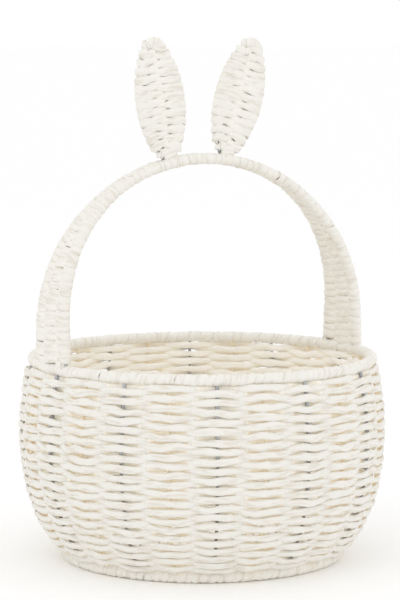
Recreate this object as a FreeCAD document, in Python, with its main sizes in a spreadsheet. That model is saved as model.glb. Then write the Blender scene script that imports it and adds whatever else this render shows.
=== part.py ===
import FreeCAD, Part
import math
import os
import re

import Sketcher
from FreeCAD import Placement, Rotation, Vector

# Easter basket with bunny ears: paper rope woven on a welded frame of steel wire.
# Millimetres. The origin is at the middle of the base, on the surface the basket stands on.
# +Z is up. The handle's arch and both ears lie in the XZ plane.

SIZES = [
    # The wall's centre line, from the floor up to the rim, as (alias, value).
    ("rim_radius", 116.5),
    ("rim_height", 138.0),
    ("belly_radius", 122.8),
    ("belly_height", 87.0),
    ("haunch_radius", 117.1),
    ("haunch_height", 45.0),
    ("heel_arc", 100.9),
    ("floor_bend", 8.0),
    ("floor_height", 7.0),
    ("base_radius", 94.5),
    ("base_height", 4.4),
    # Wires of the frame.
    ("hoop_wire_radius", 1.5),
    ("rib_wire_radius", 1.1),
    ("stake_radius", 1.2),
    ("hub_ring_radius", 14.0),
    ("stake_inner_radius", 45.0),
    ("stake_pitch", 15.0),
    ("rib_phase", 4.5),
    # The paper rope woven over them.
    ("weave_half", 4.2),
    ("weave_bottom", 9.6),
    ("weave_top", 133.4),
    ("floor_weave_radius", 89.3),
    ("floor_weave_half", 4.2),
    ("floor_weave_round", 2.5),
    ("rim_binding_radius", 4.1),
    ("base_binding_radius", 4.6),
    # The handle.
    ("crown_height", 275.0),
    ("crown_radius", 129.0),
    ("shoulder_radius", 107.0),
    ("handle_wire_radius", 1.2),
    ("foot_half_width", 18.5),
    ("crown_half_width", 3.4),
    ("spread_start", 44.0),
    ("handle_weave_start", 142.6),
    ("band_side_cover", 4.0),
    ("band_half_foot", 4.2),
    ("band_half_crown", 3.5),
    ("crown_binding_angle", 26.0),
    # The ears.
    ("ear_wire_radius", 1.1),
    ("ear_half_width", 15.6),
    ("ear_middle", 43.0),
    ("ear_side_arc", 72.0),
    ("ear_tip_arc", 6.0),
    ("ear_cover", 3.4),
    ("ear_weave_half", 3.6),
    ("ear_weave_round", 2.4),
    ("ear_neck_length", 7.0),
    ("ear_neck_half_width", 7.8),
    ("ear_neck_half_depth", 4.2),
    ("left_ear_x", -26.4),
    ("left_ear_lean", -8.8),
    ("right_ear_x", 16.4),
    ("right_ear_lean", 16.3),
]

RIB_COUNT = 12
ORIGIN = -1
POINT = {"start": 1, "end": 2, "centre": 3}
SIDE_WIRE_STATIONS = 29
LEG_SECTIONS = 8
CROWN_SECTIONS = 7
EAR_FOOT = 0.4

doc = FreeCAD.newDocument("easter_basket")
sheet = doc.addObject("Spreadsheet::Sheet", "sizes")
for row, (alias, value) in enumerate(SIZES, start=1):
    sheet.set(f"A{row}", alias)
    sheet.set(f"B{row}", str(value))
    sheet.setAlias(f"B{row}", alias)
doc.recompute()


def size(alias):
    """The value of one cell of the sheet."""
    return float(sheet.get(alias))


def bind(thing, prop, expression):
    """Ties a property to the sheet. Each word in the expression is a cell's alias."""
    thing.setExpression(prop, re.sub(r"([a-z]\w*)", r"sizes.\1", expression))


# ---------------------------------------------------------------- sketches


def new_body(name):
    body = doc.addObject("PartDesign::Body", f"{name}_body")
    body.Label = name
    return body


def new_sketch(body, name, plane):
    """A sketch on one of the body's own origin planes."""
    sketch = body.newObject("Sketcher::SketchObject", name)
    support = next(f for f in body.Origin.OriginFeatures if f.Role == plane)
    sketch.AttachmentSupport = [(support, "")]
    sketch.MapMode = "FlatFace"
    return sketch


def arc(centre, radius, start, end):
    """An arc of a circle, anticlockwise between two angles in radians."""
    circle = Part.Circle(Vector(centre[0], centre[1], 0), Vector(0, 0, 1), radius)
    return Part.ArcOfCircle(circle, start, end)


def line(start, end):
    return Part.LineSegment(Vector(*start, 0), Vector(*end, 0))


def constrain(sketch, kind, *args, expression=None):
    """Adds one constraint, bound to the sheet where it has an expression."""
    index = sketch.addConstraint(Sketcher.Constraint(kind, *args))
    if expression:
        bind(sketch, f"Constraints[{index}]", expression)


def place_x(sketch, geometry, point, value, expression):
    """Sets how far a point lies from the vertical axis, to the right."""
    constrain(sketch, "DistanceX", ORIGIN, 1, geometry, POINT[point], value, expression=expression)


def place_y(sketch, geometry, point, value, expression):
    """Sets how far a point lies above the horizontal axis."""
    constrain(sketch, "DistanceY", ORIGIN, 1, geometry, POINT[point], value, expression=expression)


def join(sketch, first, second):
    """The first curve's end runs smoothly into the second curve's start."""
    constrain(sketch, "Tangent", first, POINT["end"], second, POINT["start"])


def wire_from(body, path, profile):
    """A round wire swept along a sketched path."""
    pipe = body.newObject("PartDesign::AdditivePipe", f"{body.Label}_sweep")
    pipe.Profile = profile
    pipe.Spine = (path, [f"Edge{i + 1}" for i in range(path.GeometryCount)])
    return body


# ---------------------------------------------------------------- the wall's centre line


def wall_arcs():
    """Centre and radius of the wall's upper, middle and heel arcs and of the bend into the floor."""
    belly, height = size("belly_radius"), size("belly_height")
    arcs = {}
    for name, end in (("upper", "rim"), ("middle", "haunch")):
        rise = size(f"{end}_height") - height
        inset = belly - size(f"{end}_radius")
        radius = (rise**2 + inset**2) / (2 * inset)
        arcs[name] = ((belly - radius, height), radius)
    (mx, mz), middle = arcs["middle"]
    share = size("heel_arc") / middle
    hx, hz = size("haunch_radius"), size("haunch_height")
    arcs["heel"] = ((hx + (mx - hx) * share, hz + (mz - hz) * share), size("heel_arc"))
    (cx, cz), heel = arcs["heel"]
    bend_z = size("floor_height") + size("floor_bend")
    reach = math.sqrt((heel - size("floor_bend")) ** 2 - (cz - bend_z) ** 2)
    arcs["bend"] = ((cx + reach, bend_z), size("floor_bend"))
    return arcs


def angle_to(centre, point):
    return math.atan2(point[1] - centre[1], point[0] - centre[0])


def wall_path(sketch, inner_alias):
    """The line of one upright: out along the floor, up round the heel and belly, to the rim."""
    arcs = wall_arcs()
    rim = (size("rim_radius"), size("rim_height"))
    haunch = (size("haunch_radius"), size("haunch_height"))
    floor = size("floor_height")
    heel_to_bend = angle_to(arcs["heel"][0], arcs["bend"][0])
    heel_to_haunch = angle_to(arcs["heel"][0], haunch)
    sketch.addGeometry(line((size(inner_alias), floor), (arcs["bend"][0][0], floor)))
    sketch.addGeometry(arc(*arcs["bend"], -math.pi / 2, heel_to_bend))
    sketch.addGeometry(arc(*arcs["heel"], heel_to_bend, heel_to_haunch))
    sketch.addGeometry(arc(*arcs["middle"], heel_to_haunch, 0))
    sketch.addGeometry(arc(*arcs["upper"], 0, angle_to(arcs["upper"][0], rim)))
    constrain(sketch, "Horizontal", 0)
    for i in range(4):
        join(sketch, i, i + 1)
    place_x(sketch, 0, "start", size(inner_alias), inner_alias)
    place_y(sketch, 0, "start", floor, "floor_height")
    constrain(sketch, "Radius", 1, size("floor_bend"), expression="floor_bend")
    constrain(sketch, "Radius", 2, size("heel_arc"), expression="heel_arc")
    place_x(sketch, 3, "start", haunch[0], "haunch_radius")
    place_y(sketch, 3, "start", haunch[1], "haunch_height")
    place_x(sketch, 3, "end", size("belly_radius"), "belly_radius")
    place_y(sketch, 3, "end", size("belly_height"), "belly_height")
    place_y(sketch, 3, "centre", size("belly_height"), "belly_height")
    place_x(sketch, 4, "end", rim[0], "rim_radius")
    place_y(sketch, 4, "end", rim[1], "rim_height")


def upright(name, position, inner_alias, radius_alias):
    """One rib or stake, bent from the floor up the wall, at its place round the basket."""
    body = new_body(name)
    path = new_sketch(body, f"{name}_path", "XZ_Plane")
    wall_path(path, inner_alias)
    profile = new_sketch(body, f"{name}_profile", "YZ_Plane")
    bind(profile, "AttachmentOffset.Base.z", inner_alias)
    centre = Vector(0, size("floor_height"), 0)
    profile.addGeometry(Part.Circle(centre, Vector(0, 0, 1), size(radius_alias)))
    constrain(profile, "Radius", 0, size(radius_alias), expression=radius_alias)
    constrain(profile, "PointOnObject", 0, POINT["centre"], -2)
    place_y(profile, 0, "centre", size("floor_height"), "floor_height")
    bind(body, "Placement.Rotation.Angle", f"rib_phase + {position} * stake_pitch")
    return wire_from(body, path, profile)


# ---------------------------------------------------------------- simple solids and booleans


def torus(name, ring, tube, height):
    """A ring round the Z axis, its three sizes given as expressions."""
    ring_object = doc.addObject("Part::Torus", f"{name}_torus")
    ring_object.Label = name
    bind(ring_object, "Radius1", ring)
    bind(ring_object, "Radius2", tube)
    bind(ring_object, "Placement.Base.z", height)
    return ring_object


def cut(name, base, *tools):
    """The base with channels where the tools pass through it."""
    group = doc.addObject("Part::Compound", f"{name}_channels")
    group.Links = list(tools)
    base.Label = f"{name}_blank"
    result = doc.addObject("Part::Cut", f"{name}_cut")
    result.Base = base
    result.Tool = group
    result.Label = name
    return result


def revolve(body, sketch):
    turn = body.newObject("PartDesign::Revolution", f"{body.Label}_turn")
    turn.Profile = sketch
    turn.ReferenceAxis = (sketch, ["V_Axis"])
    turn.Angle = 360
    return body


# ---------------------------------------------------------------- woven wall and floor


def wall_shell(name):
    """The woven wall: a band each side of the uprights' centre line, turned round the Z axis."""
    arcs = wall_arcs()
    haunch = (size("haunch_radius"), size("haunch_height"))
    at_haunch = angle_to(arcs["heel"][0], haunch)
    levels = {"upper": size("weave_top"), "heel": size("weave_bottom")}

    def angle_at(which, radius):
        return math.asin((levels[which] - arcs[which][0][1]) / radius)

    body = new_body(name)
    sketch = new_sketch(body, f"{name}_section", "XZ_Plane")
    for offset in (0, size("weave_half"), -size("weave_half")):
        middle = arcs["middle"][1] + offset
        upper = arcs["upper"][1] + offset
        heel = arcs["heel"][1] + offset
        construction = offset == 0
        rim = (size("rim_radius"), size("rim_height"))
        top = angle_to(arcs["upper"][0], rim) if construction else angle_at("upper", upper)
        sketch.addGeometry(arc(arcs["heel"][0], heel, angle_at("heel", heel), at_haunch), construction)
        sketch.addGeometry(arc(arcs["middle"][0], middle, at_haunch, 0), construction)
        sketch.addGeometry(arc(arcs["upper"][0], upper, 0, top), construction)
    outer_heel, inner_heel = sketch.Geometry[3], sketch.Geometry[6]
    outer_upper, inner_upper = sketch.Geometry[5], sketch.Geometry[8]
    sketch.addGeometry(Part.LineSegment(inner_heel.StartPoint, outer_heel.StartPoint))
    sketch.addGeometry(Part.LineSegment(outer_upper.EndPoint, inner_upper.EndPoint))

    # The centre line fixes where the two faces' arcs are centred.
    place_x(sketch, 1, "start", haunch[0], "haunch_radius")
    place_y(sketch, 1, "start", haunch[1], "haunch_height")
    place_x(sketch, 1, "end", size("belly_radius"), "belly_radius")
    place_y(sketch, 1, "end", size("belly_height"), "belly_height")
    place_y(sketch, 1, "centre", size("belly_height"), "belly_height")
    join(sketch, 0, 1)
    join(sketch, 1, 2)
    constrain(sketch, "Radius", 0, size("heel_arc"), expression="heel_arc")
    place_y(sketch, 0, "start", levels["heel"], "weave_bottom")
    place_x(sketch, 2, "end", size("rim_radius"), "rim_radius")
    place_y(sketch, 2, "end", size("rim_height"), "rim_height")
    outer = size("belly_radius") + size("weave_half")
    inner = size("belly_radius") - size("weave_half")
    for first, reach, sign in ((3, outer, "+"), (6, inner, "-")):
        for i in range(3):
            constrain(sketch, "Coincident", first + i, 3, i, 3)
        join(sketch, first, first + 1)
        join(sketch, first + 1, first + 2)
        place_x(sketch, first + 1, "end", reach, f"belly_radius {sign} weave_half")
        place_y(sketch, first, "start", levels["heel"], "weave_bottom")
        place_y(sketch, first + 2, "end", levels["upper"], "weave_top")
    constrain(sketch, "Coincident", 9, 1, 6, 1)
    constrain(sketch, "Coincident", 9, 2, 3, 1)
    constrain(sketch, "Coincident", 10, 1, 5, 2)
    constrain(sketch, "Coincident", 10, 2, 8, 2)
    return revolve(body, sketch)


def floor_disc(name):
    """The woven floor: a flat disc each side of the spokes, with rounded edges."""
    disc = doc.addObject("Part::Cylinder", f"{name}_disc")
    bind(disc, "Radius", "floor_weave_radius")
    bind(disc, "Height", "2 * floor_weave_half")
    bind(disc, "Placement.Base.z", "floor_height - floor_weave_half")
    doc.recompute()
    rounded = doc.addObject("Part::Fillet", f"{name}_rounded")
    rounded.Base = disc
    rims = [i for i, e in enumerate(disc.Shape.Edges, start=1) if isinstance(e.Curve, Part.Circle)]
    rounded.Edges = [(i, size("floor_weave_round"), size("floor_weave_round")) for i in rims]
    rounded.Label = name
    return rounded


# ---------------------------------------------------------------- the handle


def handle_corners():
    """Centres of the crown's and shoulders' arcs, and the angle where they meet."""
    crown_z = size("crown_height") - size("crown_radius")
    shoulder_x = size("rim_radius") - size("shoulder_radius")
    gap = size("crown_radius") - size("shoulder_radius")
    shoulder_z = crown_z + math.sqrt(gap**2 - shoulder_x**2)
    return crown_z, shoulder_x, shoulder_z, math.acos(shoulder_x / gap)


def handle_length():
    """Length of half the arch, from the middle of the crown to the rim."""
    _, _, shoulder_z, meet = handle_corners()
    crown = size("crown_radius") * (math.pi / 2 - meet)
    return crown + size("shoulder_radius") * meet + shoulder_z - size("rim_height")


def handle_point(distance):
    """Point and upward-tilted direction of the arch's centre line, this far from its top.

    Positive distances run down the +X side."""
    crown_z, shoulder_x, shoulder_z, meet = handle_corners()
    side = 1 if distance >= 0 else -1
    run = abs(distance)
    crown = size("crown_radius") * (math.pi / 2 - meet)
    shoulder = size("shoulder_radius") * meet
    if run <= crown:
        turn = math.pi / 2 - run / size("crown_radius")
        x = size("crown_radius") * math.cos(turn)
        z = crown_z + size("crown_radius") * math.sin(turn)
    elif run <= crown + shoulder:
        turn = meet - (run - crown) / size("shoulder_radius")
        x = shoulder_x + size("shoulder_radius") * math.cos(turn)
        z = shoulder_z + size("shoulder_radius") * math.sin(turn)
    else:
        turn = 0.0
        x = size("rim_radius")
        z = shoulder_z - (run - crown - shoulder)
    return Vector(side * x, 0, z), Vector(side * math.sin(turn), 0, -math.cos(turn))


def spread_share(distance):
    """How far the band has opened between the crown (0) and its feet (1)."""
    run = (abs(distance) - size("spread_start")) / (handle_length() - size("spread_start"))
    run = min(max(run, 0), 1)
    return run * run * (3 - 2 * run)


def half_width(distance):
    """How far the handle's outer wires stand from its middle wire."""
    crown, foot = size("crown_half_width"), size("foot_half_width")
    return crown + (foot - crown) * spread_share(distance)


def rim_sagitta(offset):
    """How far the rim's curve falls back this far to the side of the handle's middle."""
    return size("rim_radius") - math.sqrt(size("rim_radius") ** 2 - offset**2)


def handle_middle_wire(name):
    """The middle wire: an arch of a crown arc, two shoulder arcs and two straight legs."""
    crown_z, shoulder_x, shoulder_z, meet = handle_corners()
    leg, foot = size("rim_radius"), size("rim_height")
    crown, shoulder = size("crown_radius"), size("shoulder_radius")
    body = new_body(name)
    path = new_sketch(body, f"{name}_path", "XZ_Plane")
    path.addGeometry(line((leg, foot), (leg, shoulder_z)))
    path.addGeometry(arc((shoulder_x, shoulder_z), shoulder, 0, meet))
    path.addGeometry(arc((0, crown_z), crown, meet, math.pi - meet))
    path.addGeometry(arc((-shoulder_x, shoulder_z), shoulder, math.pi - meet, math.pi))
    path.addGeometry(line((-leg, shoulder_z), (-leg, foot)))
    for i in range(4):
        join(path, i, i + 1)
    place_x(path, 0, "start", leg, "rim_radius")
    place_y(path, 0, "start", foot, "rim_height")
    constrain(path, "Vertical", 0)
    constrain(path, "Vertical", 4)
    constrain(path, "PointOnObject", 2, POINT["centre"], -2)
    place_y(path, 2, "centre", crown_z, "crown_height - crown_radius")
    constrain(path, "Radius", 2, crown, expression="crown_radius")
    constrain(path, "Radius", 1, shoulder, expression="shoulder_radius")
    constrain(path, "Equal", 1, 3)
    place_y(path, 4, "end", foot, "rim_height")
    profile = new_sketch(body, f"{name}_profile", "XY_Plane")
    bind(profile, "AttachmentOffset.Base.z", "rim_height")
    profile.addGeometry(Part.Circle(Vector(leg, 0, 0), Vector(0, 0, 1), size("handle_wire_radius")))
    constrain(profile, "Radius", 0, size("handle_wire_radius"), expression="handle_wire_radius")
    constrain(profile, "PointOnObject", 0, POINT["centre"], -1)
    place_x(profile, 0, "centre", leg, "rim_radius")
    return wire_from(body, path, profile)


def handle_outer_wire(name, side):
    """An outer wire: it leans in from the rim to run beside the middle wire at the crown."""
    points = []
    for i in range(SIDE_WIRE_STATIONS):
        distance = handle_length() * (2 * i / (SIDE_WIRE_STATIONS - 1) - 1)
        at, _ = handle_point(distance)
        offset = half_width(distance)
        inset = math.copysign(rim_sagitta(offset), at.x) if abs(at.x) > 1 else 0.0
        points.append(Vector(at.x - inset, side * offset, at.z))
    curve = Part.BSplineCurve()
    curve.interpolate(points)
    spine = Part.Wire([curve.toShape()])
    start, direction = curve.value(curve.FirstParameter), curve.tangent(curve.FirstParameter)[0]
    section = Part.Wire([Part.makeCircle(size("handle_wire_radius"), start, direction)])
    wire = doc.addObject("Part::Feature", f"{name}_wire")
    wire.Shape = spine.makePipeShell([section], True, False)
    wire.Placement = Placement()
    wire.Label = name
    return wire


def band_section(name, distance):
    """An oval across the handle, wide along Y, at a distance along the arch."""
    at, along = handle_point(distance)
    share = spread_share(distance)
    inset = rim_sagitta(half_width(distance)) / 2
    outward = Vector(-along.z, 0, along.x)
    if outward.dot(Vector(at.x, 0, at.z - size("rim_height"))) < 0:
        outward = outward * -1
    oval = doc.addObject("Part::Ellipse", name)
    wide = "crown_half_width + (foot_half_width - crown_half_width)"
    bind(oval, "MajorRadius", f"{wide} * {share:.6f} + band_side_cover")
    deep = "band_half_crown + (band_half_foot - band_half_crown)"
    bind(oval, "MinorRadius", f"{deep} * {share:.6f}")
    turn = Rotation(Vector(0, 1, 0), along.cross(Vector(0, 1, 0)), along, "ZXY")
    oval.Placement = Placement(at - outward * inset, turn)
    return oval


def band(name, first, last, count):
    """A stretch of the woven handle between two distances along the arch."""
    step = (last - first) / (count - 1)
    sections = [band_section(f"{name}_oval{i}", first + i * step) for i in range(count)]
    loft = doc.addObject("Part::Loft", f"{name}_loft")
    loft.Sections = sections
    loft.Solid = True
    loft.Ruled = False
    loft.Label = name
    return loft


# ---------------------------------------------------------------- the ears


def leaf_outline(sketch, grow_alias, foot, foot_expression):
    """A leaf in the XZ plane: two long side arcs that run into a small tip arc."""
    grow = size(grow_alias) if grow_alias else 0.0
    added = f" + {grow_alias}" if grow_alias else ""
    side, tip = size("ear_side_arc"), size("ear_tip_arc")
    reach = side - size("ear_half_width")
    middle = size("ear_middle")
    tip_z = middle + math.sqrt((side - tip) ** 2 - reach**2)
    meet = angle_to((-reach, middle), (0, tip_z))
    low = math.asin((foot - middle) / (side + grow))
    sketch.addGeometry(arc((-reach, middle), side + grow, low, meet))
    sketch.addGeometry(arc((0, tip_z), tip + grow, meet, math.pi - meet))
    sketch.addGeometry(arc((reach, middle), side + grow, math.pi - meet, math.pi - low))
    join(sketch, 0, 1)
    join(sketch, 1, 2)
    for index in (0, 2):
        place_y(sketch, index, "centre", middle, "ear_middle")
    left_of_axis = "ear_side_arc - ear_half_width"
    constrain(sketch, "DistanceX", 0, 3, ORIGIN, 1, reach, expression=left_of_axis)
    constrain(sketch, "Radius", 0, side + grow, expression=f"ear_side_arc{added}")
    constrain(sketch, "Equal", 0, 2)
    constrain(sketch, "PointOnObject", 1, POINT["centre"], -2)
    constrain(sketch, "Radius", 1, tip + grow, expression=f"ear_tip_arc{added}")
    place_y(sketch, 0, "start", foot, foot_expression)
    place_y(sketch, 2, "end", foot, foot_expression)
    return (
        -reach + (side + grow) * math.cos(low),
        Vector(-math.sin(low), math.cos(low), 0),
    )


def stand_on_crown(thing, ear):
    """Puts an ear's piece on the crown at the ear's place, leaning with it."""
    x = size(f"{ear}_ear_x")
    z = size("crown_height") - size("crown_radius") + math.sqrt(size("crown_radius") ** 2 - x**2)
    lean = Rotation(Vector(0, 1, 0), size(f"{ear}_ear_lean"))
    thing.Placement = Placement(Vector(x, 0, z), lean).multiply(thing.Placement)
    bind(thing, "Placement.Base.x", f"{ear}_ear_x")


def ear_wire(name, ear):
    """The ear's wire, bent into a leaf and open at its foot."""
    body = new_body(name)
    path = new_sketch(body, f"{name}_path", "XZ_Plane")
    start_x, heading = leaf_outline(path, None, EAR_FOOT, str(EAR_FOOT))
    profile = doc.addObject("Part::Circle", f"{name}_profile")
    bind(profile, "Radius", "ear_wire_radius")
    across = Rotation(Vector(0, 0, 1), Vector(heading.x, 0, heading.y))
    profile.Placement = Placement(Vector(start_x, 0, EAR_FOOT), across)
    sweep = doc.addObject("Part::Sweep", f"{name}_sweep")
    sweep.Sections = [profile]
    sweep.Spine = (path, ["Edge1", "Edge2", "Edge3"])
    sweep.Solid = True
    sweep.Label = name
    body.Label = f"{name}_frame"
    stand_on_crown(sweep, ear)
    return sweep


def ear_weave(name, ear):
    """The woven leaf: the wire's outline grown by the rope round it, with rounded edges."""
    body = new_body(name)
    sketch = new_sketch(body, f"{name}_outline", "XZ_Plane")
    foot = size("ear_neck_length")
    start_x, _ = leaf_outline(sketch, "ear_cover", foot, "ear_neck_length")
    sketch.addGeometry(line((-start_x, foot), (start_x, foot)))
    constrain(sketch, "Coincident", 3, 1, 2, 2)
    constrain(sketch, "Coincident", 3, 2, 0, 1)
    pad = body.newObject("PartDesign::Pad", f"{name}_pad")
    pad.Profile = sketch
    pad.Midplane = True
    bind(pad, "Length", "2 * ear_weave_half")
    doc.recompute()
    flats = [
        f"Edge{i}"
        for i, edge in enumerate(pad.Shape.Edges, start=1)
        if isinstance(edge.Curve, Part.Circle)
    ]
    rounding = body.newObject("PartDesign::Fillet", f"{name}_rounding")
    rounding.Base = (pad, flats)
    bind(rounding, "Radius", "ear_weave_round")
    stand_on_crown(body, ear)
    return body


def ear_neck(name, ear):
    """The wrapped neck between the crown and the woven leaf."""
    oval = doc.addObject("Part::Ellipse", f"{name}_oval")
    bind(oval, "MajorRadius", "ear_neck_half_width")
    bind(oval, "MinorRadius", "ear_neck_half_depth")
    neck = doc.addObject("Part::Extrusion", f"{name}_column")
    neck.Base = oval
    neck.DirMode = "Custom"
    neck.Dir = Vector(0, 0, 1)
    neck.Solid = True
    bind(neck, "LengthFwd", "ear_neck_length")
    neck.Label = name
    stand_on_crown(neck, ear)
    return neck


# ---------------------------------------------------------------- assembly


def build():
    """All the basket's pieces, in the order they are made."""
    rim_hoop = torus("rim_hoop", "rim_radius", "hoop_wire_radius", "rim_height")
    base_hoop = torus("base_hoop", "base_radius", "hoop_wire_radius", "base_height")
    hub_ring = torus("hub_ring", "hub_ring_radius", "hoop_wire_radius", "floor_height")
    hoops = [rim_hoop, base_hoop, hub_ring]

    # Wire ribs alternate with stakes of tightly rolled paper. Each is coped to the hoops it meets.
    ribs, stakes = [], []
    for i in range(RIB_COUNT):
        rib = upright(f"wire_rib_{i + 1:02d}", 2 * i, "hub_ring_radius", "rib_wire_radius")
        stake = upright(f"paper_stake_{i + 1:02d}", 2 * i + 1, "stake_inner_radius", "stake_radius")
        ribs.append(rib)
        stakes.append(stake)
    uprights = ribs + stakes
    coped = [cut(post.Label, post, *hoops) for post in uprights]

    middle = handle_middle_wire("handle_middle_wire")
    front = handle_outer_wire("handle_front_wire", -1)
    back = handle_outer_wire("handle_back_wire", 1)
    handle_wires = [middle, front, back]
    coped += [cut(wire.Label, wire, rim_hoop) for wire in handle_wires]

    side_weave = cut("side_weave", wall_shell("side_weave"), *uprights)
    floor_weave = cut("floor_weave", floor_disc("floor_weave"), hub_ring, *uprights)
    rim_blank = torus("rim_binding", "rim_radius", "rim_binding_radius", "rim_height")
    rim_binding = cut("rim_binding", rim_blank, rim_hoop, *uprights, *handle_wires)
    base_blank = torus("base_binding", "base_radius", "base_binding_radius", "base_height")
    below = doc.addObject("Part::Box", "ground_side")
    bind(below, "Length", "3 * base_radius")
    bind(below, "Width", "3 * base_radius")
    bind(below, "Height", "base_binding_radius")
    bind(below, "Placement.Base.x", "-1.5 * base_radius")
    bind(below, "Placement.Base.y", "-1.5 * base_radius")
    bind(below, "Placement.Base.z", "-base_binding_radius")
    base_binding = cut("base_binding", base_blank, below, base_hoop, *uprights)

    crown_end = math.radians(size("crown_binding_angle")) * size("crown_radius")
    leg_end = handle_length() - (size("handle_weave_start") - size("rim_height"))
    crown = band("crown_binding", -crown_end, crown_end, CROWN_SECTIONS)
    left = band("handle_weave_left", -leg_end, -crown_end, LEG_SECTIONS)
    right = band("handle_weave_right", crown_end, leg_end, LEG_SECTIONS)
    wraps = []
    ear_wires = [ear_wire(f"ear_wire_{ear}", ear) for ear in ("left", "right")]
    for blank in (left, right):
        wraps.append(cut(blank.Label, blank, *handle_wires))
    wraps.append(cut("crown_binding", crown, *handle_wires, *ear_wires))

    ear_pieces = []
    for ear, wire in zip(("left", "right"), ear_wires):
        ear_pieces.append(cut(f"ear_wire_{ear}", wire, *handle_wires))
        ear_pieces.append(cut(f"ear_weave_{ear}", ear_weave(f"ear_weave_{ear}", ear), wire))
        neck = ear_neck(f"ear_neck_{ear}", ear)
        ear_pieces.append(cut(f"ear_neck_{ear}", neck, wire, crown, *handle_wires))

    weaves = [side_weave, floor_weave, rim_binding, base_binding]
    return hoops + coped + weaves + wraps + ear_pieces


pieces = build()
doc.recompute()

faults = [f"{o.Label}: {o.State}" for o in doc.Objects if {"Invalid", "Error"} & set(o.State)]
for piece in pieces:
    if piece.Shape.isNull() or not piece.Shape.isValid():
        faults.append(f"{piece.Label}: bad shape")
    elif len(piece.Shape.Solids) != 1:
        faults.append(f"{piece.Label}: {len(piece.Shape.Solids)} solids")
if faults:
    raise SystemExit("\n".join(faults))

os.makedirs("parts", exist_ok=True)
for piece in pieces:
    piece.Shape.exportStep(f"parts/{piece.Label}.step")
print(f"{len(pieces)} pieces written")
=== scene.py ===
import math

import bpy
import numpy as np
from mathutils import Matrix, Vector


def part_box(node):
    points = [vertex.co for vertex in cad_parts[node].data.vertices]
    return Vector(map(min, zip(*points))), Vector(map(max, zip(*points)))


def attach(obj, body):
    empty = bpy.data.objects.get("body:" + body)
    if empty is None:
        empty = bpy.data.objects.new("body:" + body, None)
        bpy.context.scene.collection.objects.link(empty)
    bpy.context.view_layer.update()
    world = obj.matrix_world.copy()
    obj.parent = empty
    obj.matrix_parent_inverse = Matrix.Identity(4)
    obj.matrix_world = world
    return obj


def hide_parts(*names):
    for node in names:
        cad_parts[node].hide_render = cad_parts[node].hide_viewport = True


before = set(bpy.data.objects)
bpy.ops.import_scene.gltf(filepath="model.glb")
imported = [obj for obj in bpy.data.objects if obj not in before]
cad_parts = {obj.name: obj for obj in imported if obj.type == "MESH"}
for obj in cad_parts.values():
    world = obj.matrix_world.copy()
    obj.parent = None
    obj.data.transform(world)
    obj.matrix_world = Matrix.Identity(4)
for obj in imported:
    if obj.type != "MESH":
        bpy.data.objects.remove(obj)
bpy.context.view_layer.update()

MM = 0.001
TAU = 2 * math.pi

# An easter basket: flattened, loosely twisted paper rope woven on a steel wire frame.
# Every rope is real geometry, laid round the frame's own wires. Lengths are in millimetres
# until a mesh is made, and in metres for the lamps and the studio's floor.


def corners(node):
    """A node's lowest and highest corners, in millimetres."""
    low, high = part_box(node)
    return np.array(low) / MM, np.array(high) / MM


# ---------------------------------------------------------------- sizes, from the frame

rim_low, rim_high = corners("rim_hoop")
HOOP_WIRE = (rim_high[2] - rim_low[2]) / 2
RIM_RADIUS = (rim_high[0] - rim_low[0]) / 2 - HOOP_WIRE
RIM_Z = (rim_high[2] + rim_low[2]) / 2
base_low, base_high = corners("base_hoop")
BASE_RADIUS = (base_high[0] - base_low[0]) / 2 - HOOP_WIRE
BASE_Z = (base_high[2] + base_low[2]) / 2
hub_low, hub_high = corners("hub_ring")
HUB_RADIUS = (hub_high[0] - hub_low[0]) / 2 - HOOP_WIRE
FLOOR_Z = (hub_high[2] + hub_low[2]) / 2
wall_low, wall_high = corners("side_weave")
floor_low, floor_high = corners("floor_weave")
FLOOR_RADIUS = (floor_high[0] - floor_low[0]) / 2
WEAVE_HALF = (floor_high[2] - floor_low[2]) / 2
BELLY_RADIUS = (wall_high[0] - wall_low[0]) / 2 - WEAVE_HALF
middle_low, middle_high = corners("handle_middle_wire")
HANDLE_WIRE = (middle_high[1] - middle_low[1]) / 2
CROWN_Z = middle_high[2] - HANDLE_WIRE
front_low, _ = corners("handle_front_wire")
FOOT_HALF_WIDTH = -front_low[1] - HANDLE_WIRE
ear_low, ear_high = corners("ear_wire_left")
EAR_WIRE = (ear_high[1] - ear_low[1]) / 2

# The wall's centre line and the handle's arch repeat the frame's own curves.
BELLY_Z = 87.0
HAUNCH = (117.1, 45.0)
HEEL_ARC = 100.9
STAKES = 24
FIRST_STAKE = math.radians(4.5)
STAKE_RADIUS = 1.2
CROWN_RADIUS = 129.0
SHOULDER_RADIUS = 107.0
CROWN_HALF_WIDTH = 3.4
SPREAD_START = 44.0
CROWN_END = math.radians(26.0) * CROWN_RADIUS
EAR_HALF_WIDTH = 15.6
EAR_MIDDLE = 43.0
EAR_SIDE_ARC = 72.0
EAR_TIP_ARC = 6.0
EARS = {"left": (-26.4, -8.8), "right": (16.4, 16.3)}

# The rope, as it lies flat over a stake and as neighbours squeeze it between stakes.
ROPE_FLAT = (5.0, 2.4)
ROPE_SQUEEZED = (4.1, 3.6)
# Points round the wall's rope, and round the other ropes.
AROUND = 14
AROUND_OTHERS = 12
# How far a soft ridge moves the rope's surface, as a share of its reach from the middle,
# and the shortest and longest run over which the paper twists once.
RIDGES = (0.06, 0.05, 0.05)
TWIST_RUN = (26, 38)


# ---------------------------------------------------------------- camera and studio

AZIMUTH = math.radians(-30.0)
CAMERA_DISTANCE = 1700.0
CAMERA_HEIGHT = 360.2
CAMERA_PITCH = math.radians(6.135)
CAMERA_ASIDE = -1.7
LENS = 148.9

toward_camera = np.array([math.sin(AZIMUTH), -math.cos(AZIMUTH), 0.0])
image_right = np.array([math.cos(AZIMUTH), math.sin(AZIMUTH), 0.0])


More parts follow.
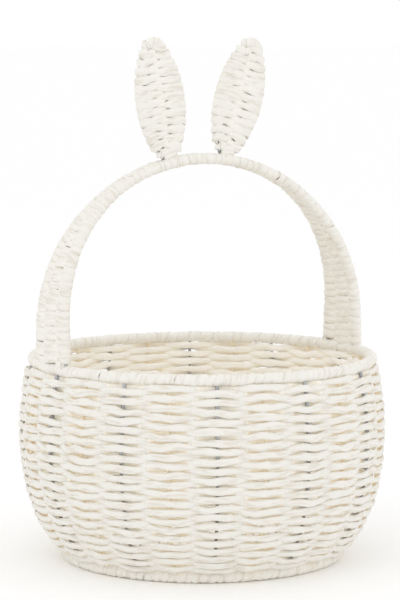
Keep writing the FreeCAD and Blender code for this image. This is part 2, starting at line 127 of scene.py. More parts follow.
def add_camera():
    """The photo's camera."""
    data = bpy.data.cameras.new("camera")
    data.lens = LENS
    data.sensor_width = 36.0
    data.clip_start = 0.05
    data.clip_end = 150.0
    camera = bpy.data.objects.new("camera", data)
    place = toward_camera * CAMERA_DISTANCE + image_right * CAMERA_ASIDE
    camera.location = (place[0] * MM, place[1] * MM, CAMERA_HEIGHT * MM)
    camera.rotation_euler = (math.pi / 2 - CAMERA_PITCH, 0.0, AZIMUTH)
    bpy.context.collection.objects.link(camera)
    bpy.context.scene.camera = camera


def add_lamp(name, azimuth, elevation, distance, width, power, tint):
    """A soft square lamp that faces the basket's middle."""
    data = bpy.data.lights.new(name, "AREA")
    data.shape = "SQUARE"
    data.size = width
    data.energy = power
    data.color = tint
    lamp = bpy.data.objects.new(name, data)
    angle, rise = math.radians(azimuth), math.radians(elevation)
    middle = Vector((0.0, 0.0, 0.15))
    way = Vector((math.sin(angle) * math.cos(rise), -math.cos(angle) * math.cos(rise), math.sin(rise)))
    lamp.location = middle + way * distance
    lamp.rotation_euler = way.to_track_quat("Z", "Y").to_euler()
    bpy.context.collection.objects.link(lamp)


FLOOR_REACH = 60.0
LIGHT_BOUNCES = 24


def add_studio():
    """A white room: an even world, two lamps and a floor that runs out past the horizon."""
    scene = bpy.context.scene
    scene.view_settings.view_transform = "Standard"
    # Light reaches the weave's gaps only after many bounces between pale ropes.
    scene.cycles.max_bounces = LIGHT_BOUNCES
    scene.cycles.diffuse_bounces = LIGHT_BOUNCES
    world = bpy.data.worlds.new("studio")
    world.use_nodes = True
    back = world.node_tree.nodes["Background"]
    back.inputs["Color"].default_value = (1.0, 1.0, 1.0, 1.0)
    back.inputs["Strength"].default_value = 1.0
    scene.world = world
    add_lamp(
        "key", azimuth=-60.0, elevation=50.0, distance=1.6, width=1.0, power=1.6, tint=(1.0, 0.99, 0.97)
    )
    add_lamp(
        "fill", azimuth=40.0, elevation=15.0, distance=1.9, width=1.2, power=1.2, tint=(1.0, 1.0, 1.0)
    )
    far = FLOOR_REACH
    floor_corners = [(-far, -far, 0.0), (far, -far, 0.0), (far, far, 0.0), (-far, far, 0.0)]
    mesh = bpy.data.meshes.new("floor")
    mesh.from_pydata(floor_corners, [], [(0, 1, 2, 3)])
    floor = bpy.data.objects.new("floor", mesh)
    bpy.context.collection.objects.link(floor)
    mesh.materials.append(floor_material())


# ---------------------------------------------------------------- materials


def new_material(name):
    """A material with its node tree and main shader."""
    material = bpy.data.materials.new(name)
    material.use_nodes = True
    tree = material.node_tree
    return material, tree, tree.nodes["Principled BSDF"]


def floor_material():
    """Matt white. Its high albedo keeps the floor from ending in a line at the horizon."""
    material, _, shader = new_material("floor_white")
    shader.inputs["Roughness"].default_value = 0.9
    shader.inputs["Specular IOR Level"].default_value = 0.1
    shader.inputs["Base Color"].default_value = (0.995, 0.995, 0.995, 1.0)
    return material


def rope_coordinates(tree, along, around):
    """Rope coordinates from the UV map: millimetres along the rope, and turns round it."""
    uv = tree.nodes.new("ShaderNodeUVMap")
    uv.uv_map = "rope"
    scale = tree.nodes.new("ShaderNodeMapping")
    scale.inputs["Scale"].default_value = (along, around, 1.0)
    tree.links.new(uv.outputs["UV"], scale.inputs["Vector"])
    return scale.outputs["Vector"]


def noise(tree, vector, scale, detail, roughness=0.55):
    """Noise from 0 to 1."""
    node = tree.nodes.new("ShaderNodeTexNoise")
    node.inputs["Scale"].default_value = scale
    node.inputs["Detail"].default_value = detail
    node.inputs["Roughness"].default_value = roughness
    tree.links.new(vector, node.inputs["Vector"])
    return node.outputs["Fac"]


def ramp(tree, value, stops):
    """A colour for each value, from stops of a place and a colour."""
    node = tree.nodes.new("ShaderNodeValToRGB")
    elements = node.color_ramp.elements
    while len(elements) < len(stops):
        elements.new(0.5)
    for element, (place, colour) in zip(elements, stops):
        element.position = place
        element.color = (*colour, 1.0)
    tree.links.new(value, node.inputs["Fac"])
    return node.outputs["Color"]


def paper_material(name, light, dark, inner, gap):
    """Matt paper rope: long twisted creases, fibres and slow changes of tone along it, with painted
    shade in the creases' hollows and painted light in the gaps and on inner faces.
    """
    material, tree, shader = new_material(name)
    creases = noise(tree, rope_coordinates(tree, 0.07, 6.0), 1.0, 3.0)
    fibres = noise(tree, rope_coordinates(tree, 0.45, 26.0), 1.0, 2.0)
    tone = noise(tree, rope_coordinates(tree, 0.02, 0.6), 1.0, 2.0)
    place = tree.nodes.new("ShaderNodeTexCoord")
    patches = noise(tree, place.outputs["Object"], 22.0, 2.0)
    blend = tree.nodes.new("ShaderNodeMix")
    blend.data_type = "FLOAT"
    blend.inputs["Factor"].default_value = 0.5
    tree.links.new(tone, blend.inputs[2])
    tree.links.new(patches, blend.inputs[3])
    colour = ramp(tree, blend.outputs[0], [(0.32, dark), (0.68, light)])
    # Painted shade: the colour darkens in the creases' hollows, where shade would fall.
    painted_crease_shade = ramp(tree, creases, [(0.36, (0.90, 0.87, 0.83)), (0.48, (1.0, 1.0, 1.0))])
    with_crease_shade = tree.nodes.new("ShaderNodeMix")
    with_crease_shade.data_type = "RGBA"
    with_crease_shade.blend_type = "MULTIPLY"
    with_crease_shade.inputs["Factor"].default_value = 1.0
    tree.links.new(colour, with_crease_shade.inputs["A"])
    tree.links.new(painted_crease_shade, with_crease_shade.inputs["B"])
    # Painted light: paper further in is painted paler, and in the gaps warmer, for the light that
    # bounces between the pale ropes and shines through the paper. Fitted to the photo's bright gaps.
    inward = tree.nodes.new("ShaderNodeAttribute")
    inward.attribute_name = "painted_light_share"
    painted_light_colour = ramp(tree, inward.outputs["Fac"], [(0.5, inner), (1.0, gap)])
    share = tree.nodes.new("ShaderNodeMapRange")
    share.inputs["From Max"].default_value = 0.5
    tree.links.new(inward.outputs["Fac"], share.inputs["Value"])
    with_painted_light = tree.nodes.new("ShaderNodeMix")
    with_painted_light.data_type = "RGBA"
    tree.links.new(share.outputs["Result"], with_painted_light.inputs["Factor"])
    tree.links.new(with_crease_shade.outputs["Result"], with_painted_light.inputs["A"])
    tree.links.new(painted_light_colour, with_painted_light.inputs["B"])
    tree.links.new(with_painted_light.outputs["Result"], shader.inputs["Base Color"])
    first = tree.nodes.new("ShaderNodeBump")
    first.inputs["Distance"].default_value = 0.6 * MM
    first.inputs["Strength"].default_value = 1.0
    tree.links.new(creases, first.inputs["Height"])
    second = tree.nodes.new("ShaderNodeBump")
    second.inputs["Distance"].default_value = 0.06 * MM
    second.inputs["Strength"].default_value = 0.6
    tree.links.new(fibres, second.inputs["Height"])
    tree.links.new(first.outputs["Normal"], second.inputs["Normal"])
    tree.links.new(second.outputs["Normal"], shader.inputs["Normal"])
    shader.inputs["Roughness"].default_value = 0.85
    shader.inputs["Specular IOR Level"].default_value = 0.2
    return material


def stake_material():
    """Tightly rolled paper, finely mottled and a little warmer than the rope."""
    material, tree, shader = new_material("rolled_paper")
    place = tree.nodes.new("ShaderNodeTexCoord")
    mottle = noise(tree, place.outputs["Object"], 160.0, 4.0)
    colour = ramp(tree, mottle, [(0.35, (0.88, 0.79, 0.62)), (0.65, (0.95, 0.89, 0.75))])
    tree.links.new(colour, shader.inputs["Base Color"])
    bump = tree.nodes.new("ShaderNodeBump")
    bump.inputs["Distance"].default_value = 0.15 * MM
    tree.links.new(mottle, bump.inputs["Height"])
    tree.links.new(bump.outputs["Normal"], shader.inputs["Normal"])
    shader.inputs["Roughness"].default_value = 0.85
    return material


def wire_material():
    """Bright galvanised steel, slightly mottled and rough."""
    material, tree, shader = new_material("galvanised_wire")
    place = tree.nodes.new("ShaderNodeTexCoord")
    runs = noise(tree, place.outputs["Object"], 90.0, 3.0)
    colour = ramp(tree, runs, [(0.30, (0.30, 0.31, 0.33)), (0.62, (0.52, 0.54, 0.57))])
    tree.links.new(colour, shader.inputs["Base Color"])
    gloss = tree.nodes.new("ShaderNodeMapRange")
    tree.links.new(runs, gloss.inputs["Value"])
    gloss.inputs["To Min"].default_value = 0.42
    gloss.inputs["To Max"].default_value = 0.26
    tree.links.new(gloss.outputs["Result"], shader.inputs["Roughness"])
    bump = tree.nodes.new("ShaderNodeBump")
    bump.inputs["Distance"].default_value = 0.05 * MM
    tree.links.new(runs, bump.inputs["Height"])
    tree.links.new(bump.outputs["Normal"], shader.inputs["Normal"])
    shader.inputs["Metallic"].default_value = 1.0
    return material


# ---------------------------------------------------------------- rope geometry


def unit(vectors):
    """The vectors scaled to length 1."""
    return vectors / np.linalg.norm(vectors, axis=-1, keepdims=True)


def wander(rng, turns, lowest, highest, count=7):
    """A smooth random wave of unit strength that repeats every turn."""
    total = np.zeros_like(turns)
    for _ in range(count):
        total += np.sin(TAU * (rng.integers(lowest, highest + 1) * turns + rng.random()))
    return total / math.sqrt(count / 2)


class Piece:
    """Ropes gathered into one mesh, with a UV map of millimetres along and turns round."""

    def __init__(self, name):
        self.name = name
        self.points, self.faces, self.uvs, self.painted_light_shares = [], [], [], []
        self.total = 0

    def rope(self, rng, path, wide_way, wide, thick, painted_light_share, closed=False, around=AROUND):
        """One rope along path: its wide side lies along wide_way, wide by thick across.

        Its share of painted light, paler and warmer, comes from a function of the points and their
        path's: how far in a point lies, 0 to 1."""
        count = len(path)
        if closed:
            along = np.roll(path, -1, axis=0) - np.roll(path, 1, axis=0)
        else:
            along = np.gradient(path, axis=0)
        along = unit(along)
        side = unit(wide_way - along * np.sum(wide_way * along, axis=1, keepdims=True))
        out = np.cross(along, side)
        steps = np.linalg.norm(np.diff(path, axis=0, append=path[:1]), axis=1)
        run = np.concatenate([[0.0], np.cumsum(steps)[:-1]])
        angle = TAU * np.arange(around) / around
        # Twisted paper: a few soft ridges wind slowly round the rope.
        turns = round(steps.sum() / rng.uniform(*TWIST_RUN)) or 1
        spin = TAU * turns * run / steps.sum() + rng.random() * TAU
        ridge = RIDGES[0] * np.cos(2 * angle[None, :] - spin[:, None])
        ridge += RIDGES[1] * np.cos(3 * angle[None, :] - spin[:, None] * 2 + 1.3)
        ridge += RIDGES[2] * np.cos(5 * angle[None, :] - spin[:, None] * 2 + 0.4)
        reach_wide = (np.asarray(wide) / 2)[:, None] * np.cos(angle)[None, :] * (1 + ridge)
        reach_thick = (np.asarray(thick) / 2)[:, None] * np.sin(angle)[None, :] * (1 + ridge)
        points = path[:, None, :] + side[:, None, :] * reach_wide[..., None]
        points = points + out[:, None, :] * reach_thick[..., None]
        self.points.append(points.reshape(-1, 3))
        self.painted_light_shares.append(np.clip(painted_light_share(points), 0.0, 1.0).reshape(-1))
        rows = count if closed else count - 1
        i = np.arange(rows)[:, None]
        j = np.arange(around)[None, :]
        following, beside = (i + 1) % count, (j + 1) % around
        quads = np.stack(
            [i * around + j, following * around + j, following * around + beside, i * around + beside],
            axis=-1,
        ).reshape(-1, 4)
        start, shift = rng.random() * 500, rng.random()
        u = np.stack([run, run + steps, run + steps, run], axis=-1)[:rows, None, :] + start
        v = np.stack([j[0], j[0], j[0] + 1, j[0] + 1], axis=-1)[None, :, :] / around + shift
        u, v = np.broadcast_to(u, (rows, around, 4)), np.broadcast_to(v, (rows, around, 4))
        self.uvs.append(np.stack([u, v], axis=-1).reshape(-1, 4, 2))
        self.faces.append(quads + self.total)
        self.total += count * around
        if not closed:
            self.cap(points, start)

    def cap(self, points, start):
        """Closes a rope's two ends with a fan each."""
        count, around = points.shape[:2]
        base = self.total - count * around
        for ring, flip in ((0, True), (count - 1, False)):
            centre = points[ring].mean(axis=0)
            self.points.append(centre[None, :])
            self.painted_light_shares.append(np.ones(1))
            hub = self.total
            self.total += 1
            rim = base + ring * around + np.arange(around)
            beside = np.roll(rim, -1)
            fan = np.stack([rim, beside, np.full(around, hub)], axis=-1)
            if flip:
                fan = fan[:, ::-1]
            self.faces.append(fan)
            self.uvs.append(np.full((around, 3, 2), start))

    def finish(self, material, nodes, slot="paper_rope"):
        """Makes the object, which stands for the CAD nodes."""
        points = np.concatenate(self.points) * MM
        mesh = bpy.data.meshes.new(self.name)
        loops = np.concatenate([f.reshape(-1) for f in self.faces])
        lengths = np.concatenate([np.full(len(f), f.shape[1]) for f in self.faces])
        mesh.vertices.add(len(points))
        mesh.vertices.foreach_set("co", points.reshape(-1))
        mesh.loops.add(len(loops))
        mesh.loops.foreach_set("vertex_index", loops.astype(np.int32))
        mesh.polygons.add(len(lengths))
        starts = np.concatenate([[0], np.cumsum(lengths)[:-1]])
        mesh.polygons.foreach_set("loop_start", starts.astype(np.int32))
        mesh.update(calc_edges=True)
        layer = mesh.uv_layers.new(name="rope")
        flat = np.concatenate([uv.reshape(-1) for uv in self.uvs])
        layer.data.foreach_set("uv", flat.astype(np.float32))
        # Each point's share of painted light.
        inward = mesh.attributes.new("painted_light_share", "FLOAT", "POINT")
        inward.data.foreach_set("value", np.concatenate(self.painted_light_shares).astype(np.float32))
        mesh.polygons.foreach_set("use_smooth", np.ones(len(lengths), dtype=bool))
        mesh.materials.append(material)
        mesh.validate()
        thing = bpy.data.objects.new(self.name, mesh)
        bpy.context.collection.objects.link(thing)
        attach(thing, "root")
        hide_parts(*nodes)
        return thing


def squeezed(spread, flat=ROPE_FLAT, tight=ROPE_SQUEEZED):
    """Rope width and thickness, from squeezed (spread 0) to lying flat (spread 1)."""
    wide = tight[0] + (flat[0] - tight[0]) * spread
    thick = tight[1] + (flat[1] - tight[1]) * spread
    return wide, thick


# ---------------------------------------------------------------- the wall's weave


def wall_line():
    """Centres and radii of the wall's heel, middle and upper arcs."""
    arcs = {}
    for name, radius, z in (("upper", RIM_RADIUS, RIM_Z), ("middle", *HAUNCH)):
        inset = BELLY_RADIUS - radius
        reach = ((z - BELLY_Z) ** 2 + inset**2) / (2 * inset)
        arcs[name] = (BELLY_RADIUS - reach, BELLY_Z, reach)
    mx, mz, middle = arcs["middle"]
    share = HEEL_ARC / middle
    heel_x = HAUNCH[0] + (mx - HAUNCH[0]) * share
    heel_z = HAUNCH[1] + (mz - HAUNCH[1]) * share
    arcs["heel"] = (heel_x, heel_z, HEEL_ARC)
    return arcs


def wall_at(length):
    """Radius, height and outward lean of the wall this far up from the haunch, along it."""
    arcs = wall_line()
    hx, hz, heel = arcs["heel"]
    mx, mz, middle = arcs["middle"]
    ux, uz, upper = arcs["upper"]
    at_haunch = math.atan2(HAUNCH[1] - mz, HAUNCH[0] - mx)
    to_belly = -at_haunch * middle
    low = at_haunch + length / heel
    mid = at_haunch + length / middle
    high = (length - to_belly) / upper
    angle = np.where(length < 0, low, np.where(length < to_belly, mid, high))
    cx = np.where(length < 0, hx, np.where(length < to_belly, mx, ux))
    cz = np.where(length < 0, hz, np.where(length < to_belly, mz, uz))
    radius = np.where(length < 0, heel, np.where(length < to_belly, middle, upper))
    return cx + radius * np.cos(angle), cz + radius * np.sin(angle), angle


def length_at(z):
    """How far along the wall from the haunch a height lies."""
    lengths = np.linspace(-60, 110, 3400)
    _, heights, _ = wall_at(lengths)
    return float(np.interp(z, heights, lengths))


COURSES = 42
SAMPLES_PER_STAKE = 13
# How far the rope's middle lies from the uprights' middle line where it passes them: in
# front it stands just clear, and behind it touches.
WEAVE_OUTWARD = 2.85
WEAVE_INWARD = STAKE_RADIUS + ROPE_FLAT[1] / 2
# The first course's middle is half a rope above the wall's foot, less this drop, and the
# last one's half a rope below its top, plus this rise.
FIRST_COURSE_DROP = 1.7
LAST_COURSE_RISE = 1.2
FIRST_COURSE_SWING = 0.6
SWING_SHARPNESS = 1.15


def wall_painted_light(points, radius, height, lean, face):
    """The share of painted light: 1 in the gaps, 0 on the outer face, which stands out by face, and
    half-way inside.
    """
    reach = np.hypot(points[..., 0], points[..., 1]) - radius[:, None]
    out = reach * np.cos(lean)[:, None] + (points[..., 2] - height[:, None]) * np.sin(lean)[:, None]
    return np.clip((face[:, None] - 1.4 - out) / 1.6, 0, 1) - 0.5 * np.clip(-out / 1.5, 0, 1)


def side_weave(material):
    """Courses of rope in a plain weave: out over one stake, in behind the next."""
    rng = np.random.default_rng(41)
    bottom = length_at(wall_low[2]) + ROPE_FLAT[0] / 2 - FIRST_COURSE_DROP
    top = length_at(wall_high[2]) - ROPE_FLAT[0] / 2 + LAST_COURSE_RISE
    pitch = (top - bottom) / (COURSES - 1)
    count = STAKES * SAMPLES_PER_STAKE
    turns = np.arange(count) / count
    angle = TAU * turns
    names = ["side_weave_heel", "side_weave_lower", "side_weave_upper", "side_weave_top"]
    groups = [Piece(name) for name in names]
    for course in range(COURSES):
        beat = STAKES / 2 * (angle - FIRST_STAKE) + math.pi * (course % 2)
        swing = np.cos(beat)
        swing = np.tanh(SWING_SHARPNESS * swing) / math.tanh(SWING_SHARPNESS)
        if course == 0:
            # The first course lies close against the bound base.
            swing = FIRST_COURSE_SWING * swing
        over = (swing + 1) / 2
        inner_course = 0 < course < COURSES - 1
        # Each pass sits a little high or low, and rises or falls along its length.
        stray = 0.30 * wander(rng, turns, 2, 14, 5) + 0.30 * wander(rng, turns, 14, 44, 9)
        length = bottom + course * pitch + stray * (1.0 if inner_course else 0.4)
        radius, height, lean = wall_at(length)
        wide, thick = squeezed(np.abs(swing))
        skin = radius, height, lean, WEAVE_OUTWARD * np.abs(swing) + thick / 2
        push = swing * np.where(swing > 0, WEAVE_OUTWARD, WEAVE_INWARD)
        push = push * (1 + 0.06 * wander(rng, turns, 3, 30))
        push = push + 0.16 * wander(rng, turns, 3, 40)
        radius = radius + push * np.cos(lean)
        height = height + push * np.sin(lean)
        path = np.stack([radius * np.cos(angle), radius * np.sin(angle), height], axis=1)
        tilt = lean + 0.22 * wander(rng, turns, 10, 50) * (1 - over)
        inward = -np.sin(tilt)
        up = np.stack([inward * np.cos(angle), inward * np.sin(angle), np.cos(tilt)], axis=1)
        wide = wide * (1 + 0.075 * wander(rng, turns, 4, 60, 9))
        thick = thick * (1 + 0.06 * wander(rng, turns, 4, 60))
        group = groups[course * len(groups) // COURSES]
        group.rope(rng, path, up, wide, thick, lambda points: wall_painted_light(points, *skin), closed=True)
    for group in groups:
        group.finish(material, ["side_weave"])


# ---------------------------------------------------------------- wound rings


def wound_ring(name, node, material, ring_radius, ring_z, seed, pitch, wide, thick, flat_floor=False):
    """Rope wound round and round a hoop."""
    rng = np.random.default_rng(seed)
    winds = round(TAU * ring_radius / pitch)
    samples = 18
    count = winds * samples
    turns = np.arange(count) / count
    angle = TAU * turns + 0.003 * wander(rng, turns, 9, 130, 12)
    wind = TAU * winds * turns
    reach = HOOP_WIRE + thick / 2
    tube = reach * (1 + 0.03 * wander(rng, turns, 20, 160))
    radius = ring_radius + tube * np.cos(wind)
    height = ring_z + tube * np.sin(wind)
    if flat_floor:
        # The turns lie flat on the ground, with room for the rope's ridges.
        height = np.maximum(height, thick / 2 * 1.15 + 0.15)
    path = np.stack([radius * np.cos(angle), radius * np.sin(angle), height], axis=1)
    way = np.stack([-np.sin(angle), np.cos(angle), np.zeros(count)], axis=1)
    wides = wide * (1 + 0.05 * wander(rng, turns, 30, 300))
    thicks = thick * (1 + 0.06 * wander(rng, turns, 30, 300))

    # Painted light on each turn's inner side, between the turns.
    def painted_light_share(points):
        beside = np.hypot(points[..., 0], points[..., 1]) - ring_radius
        reach = np.hypot(beside, points[..., 2] - ring_z)
        return (HOOP_WIRE + thick - 0.4 - reach) / (0.7 * thick)

    piece = Piece(name)
    piece.rope(rng, path, way, wides, thicks, painted_light_share, closed=True, around=AROUND_OTHERS)
    return piece.finish(material, [node])


# ---------------------------------------------------------------- the floor's weave


# Painted light in the floor's weave: full near its middle, in the gaps, and at least half on its upper
# face.
def floor_painted_light(points):
    above = points[..., 2] - FLOOR_Z
    return np.clip((1.6 - np.abs(above)) / 1.6, 0.5 * (above > 0), 1)


def floor_weave(material):
    """Rings of rope woven round the floor's spokes, and a coil that fills the hub."""
    rng = np.random.default_rng(7)
    piece = Piece("floor_weave_rope")
    first = HUB_RADIUS + HOOP_WIRE + 2.2
    last = FLOOR_RADIUS - 2.1
    rings = 22
    pitch = (last - first) / (rings - 1)
    # Beyond this radius the paper stakes are spokes too.
    outer_spokes_from = 48.0
    for ring in range(rings):
        radius = first + ring * pitch
        spokes = STAKES if radius > outer_spokes_from else STAKES // 2
        count = STAKES * (9 if radius > outer_spokes_from else 6)
        turns = np.arange(count) / count
        angle = TAU * turns
        swing = np.cos(spokes / 2 * (angle - FIRST_STAKE) + math.pi * (ring % 2))
        reach = radius + 0.2 * wander(rng, turns, 2, 20)
        height = FLOOR_Z + (STAKE_RADIUS + ROPE_FLAT[1] / 2) * swing
        path = np.stack([reach * np.cos(angle), reach * np.sin(angle), height], axis=1)
        way = np.stack([np.cos(angle), np.sin(angle), np.zeros(count)], axis=1)
        wide, thick = squeezed(np.abs(swing))
        piece.rope(rng, path, way, wide, thick, floor_painted_light, closed=True, around=AROUND_OTHERS)
    # A flat coil fills the middle, inside and across the hub ring.
    coils, coil_wide, coil_thick = 4.2, 3.5, 3.2
    count = 200
    share = np.linspace(0.04, 1, count)
    angle = TAU * coils * share
    radius = share * coils * pitch
    path = np.stack([radius * np.cos(angle), radius * np.sin(angle), np.full(count, FLOOR_Z)], axis=1)
    way = np.stack([np.cos(angle), np.sin(angle), np.zeros(count)], axis=1)
    wides, thicks = np.full(count, coil_wide), np.full(count, coil_thick)
    piece.rope(rng, path, way, wides, thicks, floor_painted_light, around=AROUND_OTHERS)
    return piece.finish(material, ["floor_weave"])


# ---------------------------------------------------------------- ropes worked across wires


def worked_path(first, last, pitch, half_width, wire, rope_thick, style, samples=16):
    """A rope that passes to and fro across two outer wires while it works along them.

    Returns the distance along the wires, the place across them, the height in front of
    them and the rope's spread, for each point. style is a function of distance that gives
    how far the rope weaves: 0 winds round the bundle, 1 weaves under the middle wire, and
    "eight" crosses from front to back half-way."""
    reach = wire + rope_thick / 2
    # The share of each pass that goes into crossing, and the points on its turn.
    crossing = 0.75
    bends = 7
    passes = int(round((last - first) / (pitch / 2)))
    step = (last - first) / passes
    out = []
    for index in range(passes):
        side = 1 if index % 2 == 0 else -1
        start = first + index * step
        front = index % 2 == 0
        t = np.linspace(0, 1, samples, endpoint=False)
        travelled = start + step * t * crossing
        width = half_width(travelled)
        across = side * width * (2 * t - 1)
        if style == "eight":
            height = reach * np.cos(math.pi * t)
            spread = np.abs(np.cos(math.pi * t))
        else:
            weave = style(travelled)
            plain = 1.0 if front else -1.0
            woven = -plain * np.cos(math.pi * (2 * t - 1))
            height = reach * ((1 - weave) * plain + weave * woven)
            spread = (1 - weave) + weave * np.abs(np.cos(math.pi * (2 * t - 1)))
        out.append(np.stack([travelled, across, height, spread], axis=1))
        # The turn round the outer wire, to the other face.
        b = np.linspace(0, 1, bends, endpoint=False)
        travelled = start + step * (crossing + (1 - crossing) * b)
        width = half_width(travelled)
        came = -1.0 if style == "eight" else (1.0 if front else -1.0)
        across = side * (width + reach * np.sin(math.pi * b))
        height = came * reach * np.cos(math.pi * b)
        out.append(np.stack([travelled, across, height, np.ones(bends)], axis=1))
    return np.concatenate(out)


# ---------------------------------------------------------------- the handle


def handle_corners():
    """Heights and places of the crown's and shoulders' arcs, and the angle where they meet."""
    crown_z = CROWN_Z - CROWN_RADIUS
    shoulder_x = RIM_RADIUS - SHOULDER_RADIUS
    gap = CROWN_RADIUS - SHOULDER_RADIUS
    shoulder_z = crown_z + math.sqrt(gap**2 - shoulder_x**2)
    return crown_z, shoulder_x, shoulder_z, math.acos(shoulder_x / gap)


crown_centre, shoulder_x, shoulder_z, shoulder_meet = handle_corners()
CROWN_RUN = CROWN_RADIUS * (math.pi / 2 - shoulder_meet)
SHOULDER_RUN = SHOULDER_RADIUS * shoulder_meet
HANDLE_HALF = CROWN_RUN + SHOULDER_RUN + shoulder_z - RIM_Z


def handle_at(distance):
    """The arch's middle line this far from its top: points, outward ways, ways along."""
    side = np.where(distance >= 0, 1.0, -1.0)
    run = np.abs(distance)
    on_crown = math.pi / 2 - run / CROWN_RADIUS
    on_shoulder = shoulder_meet - (run - CROWN_RUN) / SHOULDER_RADIUS
    turn = np.where(run < CROWN_RUN, on_crown, np.maximum(on_shoulder, 0.0))
    radius = np.where(run < CROWN_RUN, CROWN_RADIUS, SHOULDER_RADIUS)
    cx = np.where(run < CROWN_RUN, 0.0, shoulder_x)
    cz = np.where(run < CROWN_RUN, crown_centre, shoulder_z)
    straight = np.maximum(run - CROWN_RUN - SHOULDER_RUN, 0.0)
    x = side * (cx + radius * np.cos(turn))
    z = cz + radius * np.sin(turn) - straight
    zero = np.zeros_like(x)
    place = np.stack([x, zero, z], axis=1)
    outward = np.stack([side * np.cos(turn), zero, np.sin(turn)], axis=1)
    along = np.stack([side * np.sin(turn), zero, -np.cos(turn)], axis=1) * side[:, None]
    return place, outward, along


def handle_half_width(distance):
    """How far the outer wires stand from the middle wire."""
    run = np.clip((np.abs(distance) - SPREAD_START) / (HANDLE_HALF - SPREAD_START), 0.0, 1.0)
    return CROWN_HALF_WIDTH + (FOOT_HALF_WIDTH - CROWN_HALF_WIDTH) * run * run * (3 - 2 * run)


def handle_weave(distance):
    """How far the rope weaves between the wires rather than winding round them all."""
    open_width = 8.0
    return np.clip((handle_half_width(distance) - open_width) / 3.0, 0.0, 1.0)


def handle_rope(name, node, material, first, last, seed):
    """Rope woven across the handle's three wires, and wound round them where they close up."""
    rng = np.random.default_rng(seed)
    pitch, thick = 4.9, 2.5
    flat, tight = (6.1, thick), (4.9, 3.0)
    route = worked_path(first, last, pitch, handle_half_width, HANDLE_WIRE, thick, handle_weave)
    distance, across, height, spread = route.T
    count = len(route)
    turns = np.arange(count) / count
    distance = distance + 0.25 * wander(rng, turns, 8, 60, 9)
    height = height * (1 + 0.05 * wander(rng, turns, 10, 120))
    place, outward, along = handle_at(distance)
    inset = RIM_RADIUS - np.sqrt(RIM_RADIUS**2 - np.minimum(np.abs(across), FOOT_HALF_WIDTH) ** 2)
    path = place + outward * (height - inset)[:, None]
    path[:, 1] += across
    half_width = handle_half_width(distance)

    # Faint painted light in the gaps between the wires.
    def painted_light_share(points):
        middle = (place - outward * inset[:, None])[:, None]
        lifted = np.sum((points - middle) * outward[:, None], axis=2)
        beside = np.abs(points[..., 1]) - half_width[:, None]
        return 0.25 * np.clip((3.3 - np.abs(lifted)) / 2.8, 0, 1) * np.clip(1 - beside / 2.5, 0, 1)

    wide, thickness = squeezed(spread, flat, tight)
    wide = wide * (1 + 0.05 * wander(rng, turns, 20, 240))
    thickness = thickness * (1 + 0.06 * wander(rng, turns, 20, 240))
    piece = Piece(name)
    piece.rope(rng, path, along, wide, thickness, painted_light_share, around=AROUND_OTHERS)
    return piece.finish(material, [node])


# ---------------------------------------------------------------- the ears


def ear_half_width(height):
    """The ear wire's distance from its middle line at a height up it, and the tip arc's height."""
    reach = EAR_SIDE_ARC - EAR_HALF_WIDTH
    tip_z = EAR_MIDDLE + math.sqrt((EAR_SIDE_ARC - EAR_TIP_ARC) ** 2 - reach**2)
    slope = math.atan2(tip_z - EAR_MIDDLE, reach)
    meet_z = EAR_MIDDLE + EAR_SIDE_ARC * math.sin(slope)
    side = np.sqrt(np.maximum(EAR_SIDE_ARC**2 - (height - EAR_MIDDLE) ** 2, 0.0)) - reach
    tip = np.sqrt(np.maximum(EAR_TIP_ARC**2 - (height - tip_z) ** 2, 0.0))
    return np.where(height > meet_z, tip, side), tip_z


def ear_place(ear, across, height, front):
    """Points of an ear, from its own across, up and front distances."""
    x, lean = EARS[ear]
    z = crown_centre + math.sqrt(CROWN_RADIUS**2 - x**2)
    lean = math.radians(lean)
    return np.stack(
        [
            x + across * math.cos(lean) + height * math.sin(lean),
            -front,
            z - across * math.sin(lean) + height * math.cos(lean),
        ],
        axis=1,
    )


def ear_way(ear, across, height):
    """A direction in an ear's own plane."""
    flat = np.zeros_like(across)
    return ear_place(ear, across, height, flat) - ear_place(ear, np.zeros(1), np.zeros(1), np.zeros(1))


def wound_painted_light(points):
    """The share of painted light in a plain winding: 0 on each turn's outer half, 1 on its inner half.
    """
    middle = points.mean(axis=1, keepdims=True)
    return np.clip(0.5 - (np.abs(points[..., 1]) - np.abs(middle[..., 1])) / 2, 0, 1) * 0.5


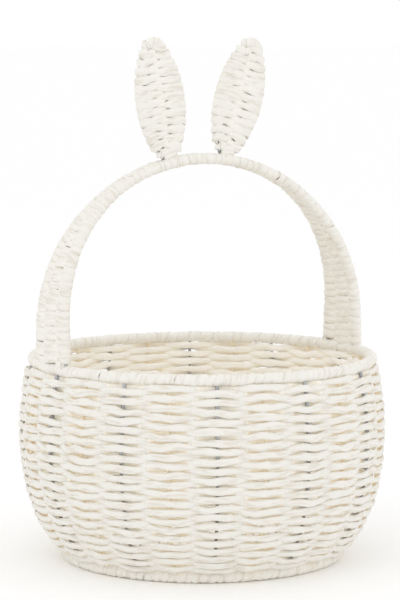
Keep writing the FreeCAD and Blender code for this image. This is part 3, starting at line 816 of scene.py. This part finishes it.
def ear_rope(ear, material, seed):
    """The leaf's figure-of-eight weave, with rope wound over its tip."""
    rng = np.random.default_rng(seed)
    pitch, thick = 5.6, 2.3
    flat, tight = (6.8, thick), (4.2, 2.6)
    tip_wide = 4.8
    _, tip_z = ear_half_width(np.zeros(1))
    neck_top, weave_top = 8.0, tip_z + EAR_TIP_ARC - 2.0

    def width(height):
        return ear_half_width(height)[0]

    route = worked_path(neck_top, weave_top, pitch, width, EAR_WIRE, thick, "eight", samples=18)
    height, across, front, spread = route.T
    count = len(route)
    turns = np.arange(count) / count
    height = height + 0.2 * wander(rng, turns, 4, 40, 9) + 0.2 * wander(rng, turns, 40, 90, 9)
    path = ear_place(ear, across, height, front)
    up = ear_way(ear, np.zeros(1), np.ones(1))
    wide, thickness = squeezed(spread, flat, tight)
    wide = wide * (1 + 0.10 * wander(rng, turns, 10, 120))
    beside = np.clip(1 - (np.abs(across) - width(height)) / 2.5, 0, 1)

    # Faint painted light where the rope passes between the wires.
    def painted_light_share(points):
        return 0.25 * np.clip((3.0 - np.abs(points[..., 1])) / 2.6, 0, 1) * beside[:, None]

    piece = Piece(f"ear_rope_{ear}")
    piece.rope(rng, path, np.repeat(up, count, axis=0), wide, thickness, painted_light_share, around=AROUND_OTHERS)
    # Turns over the tip of the leaf.
    winds, samples = 4, 18
    t = np.linspace(0, 1, winds * samples)
    sweep = math.pi * (0.20 + 0.60 * t)
    wind = TAU * winds * t
    reach = EAR_WIRE + thick / 2
    radius = EAR_TIP_ARC + reach * np.cos(wind)
    path = ear_place(ear, radius * np.cos(sweep), tip_z + radius * np.sin(sweep), reach * np.sin(wind))
    way = ear_way(ear, -np.sin(sweep), np.cos(sweep))
    wides, thicks = np.full(len(t), tip_wide), np.full(len(t), thick)
    piece.rope(rng, path, way, wides, thicks, wound_painted_light, around=AROUND_OTHERS)
    return piece.finish(material, [f"ear_weave_{ear}"])


def ear_neck(ear, material, seed):
    """Rope wound round the foot of the ear's wire, a little inside its half width."""
    rng = np.random.default_rng(seed)
    wide, thick = 4.2, 1.7
    foot, top, pitch = 3.5, 11.5, 3.9

    def width(height):
        return ear_half_width(height)[0] * 0.95

    route = worked_path(foot, top, pitch, width, EAR_WIRE, thick, np.zeros_like)
    height, across, front, _ = route.T
    count = len(route)
    path = ear_place(ear, across, height, front)
    up = ear_way(ear, np.zeros(1), np.ones(1))
    piece = Piece(f"ear_neck_rope_{ear}")
    way = np.repeat(up, count, axis=0)
    wides, thicks = np.full(count, wide), np.full(count, thick)
    piece.rope(rng, path, way, wides, thicks, wound_painted_light, around=AROUND_OTHERS)
    return piece.finish(material, [f"ear_neck_{ear}"])


# ---------------------------------------------------------------- the whole basket

add_camera()
add_studio()

ROPE_LIGHT = (0.86, 0.845, 0.80)
ROPE_DARK = (0.845, 0.82, 0.765)
# Painted light: paler, warmer colours for inner faces and gaps, for the light that bounces between the
# ropes and shines through the paper.
ROPE_INNER_PAINTED_LIGHT = (0.982, 0.96, 0.91)
ROPE_GAP_PAINTED_LIGHT = (0.99, 0.94, 0.835)
rope = paper_material("paper_rope", ROPE_LIGHT, ROPE_DARK, ROPE_INNER_PAINTED_LIGHT, ROPE_GAP_PAINTED_LIGHT)
stake = stake_material()
wire = wire_material()
for name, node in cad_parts.items():
    if name.startswith("paper_stake"):
        node.data.materials.clear()
        node.data.materials.append(stake)
    elif "wire" in name or name in ("rim_hoop", "base_hoop", "hub_ring"):
        node.data.materials.clear()
        node.data.materials.append(wire)

side_weave(rope)
floor_weave(rope)
wound_ring(
    "rim_rope", "rim_binding", rope, RIM_RADIUS, RIM_Z, seed=3, pitch=5.2, wide=6.3, thick=2.35
)
wound_ring(
    "base_rope", "base_binding", rope, BASE_RADIUS, BASE_Z, seed=5, pitch=5.3, wide=6.3, thick=2.8,
    flat_floor=True,
)
# The handle's rope ends just above the rim hoop, and the crown's laps over both its ends.
foot = HANDLE_HALF - 3.2
crown_reach = CROWN_END + 1.5
handle_rope("handle_rope_left", "handle_weave_left", rope, -foot, -CROWN_END, seed=11)
handle_rope("crown_rope", "crown_binding", rope, -crown_reach, crown_reach, seed=12)
handle_rope("handle_rope_right", "handle_weave_right", rope, CROWN_END, foot, seed=13)
for ear, seed in (("left", 21), ("right", 22)):
    ear_rope(ear, rope, seed)
    ear_neck(ear, rope, seed + 10)
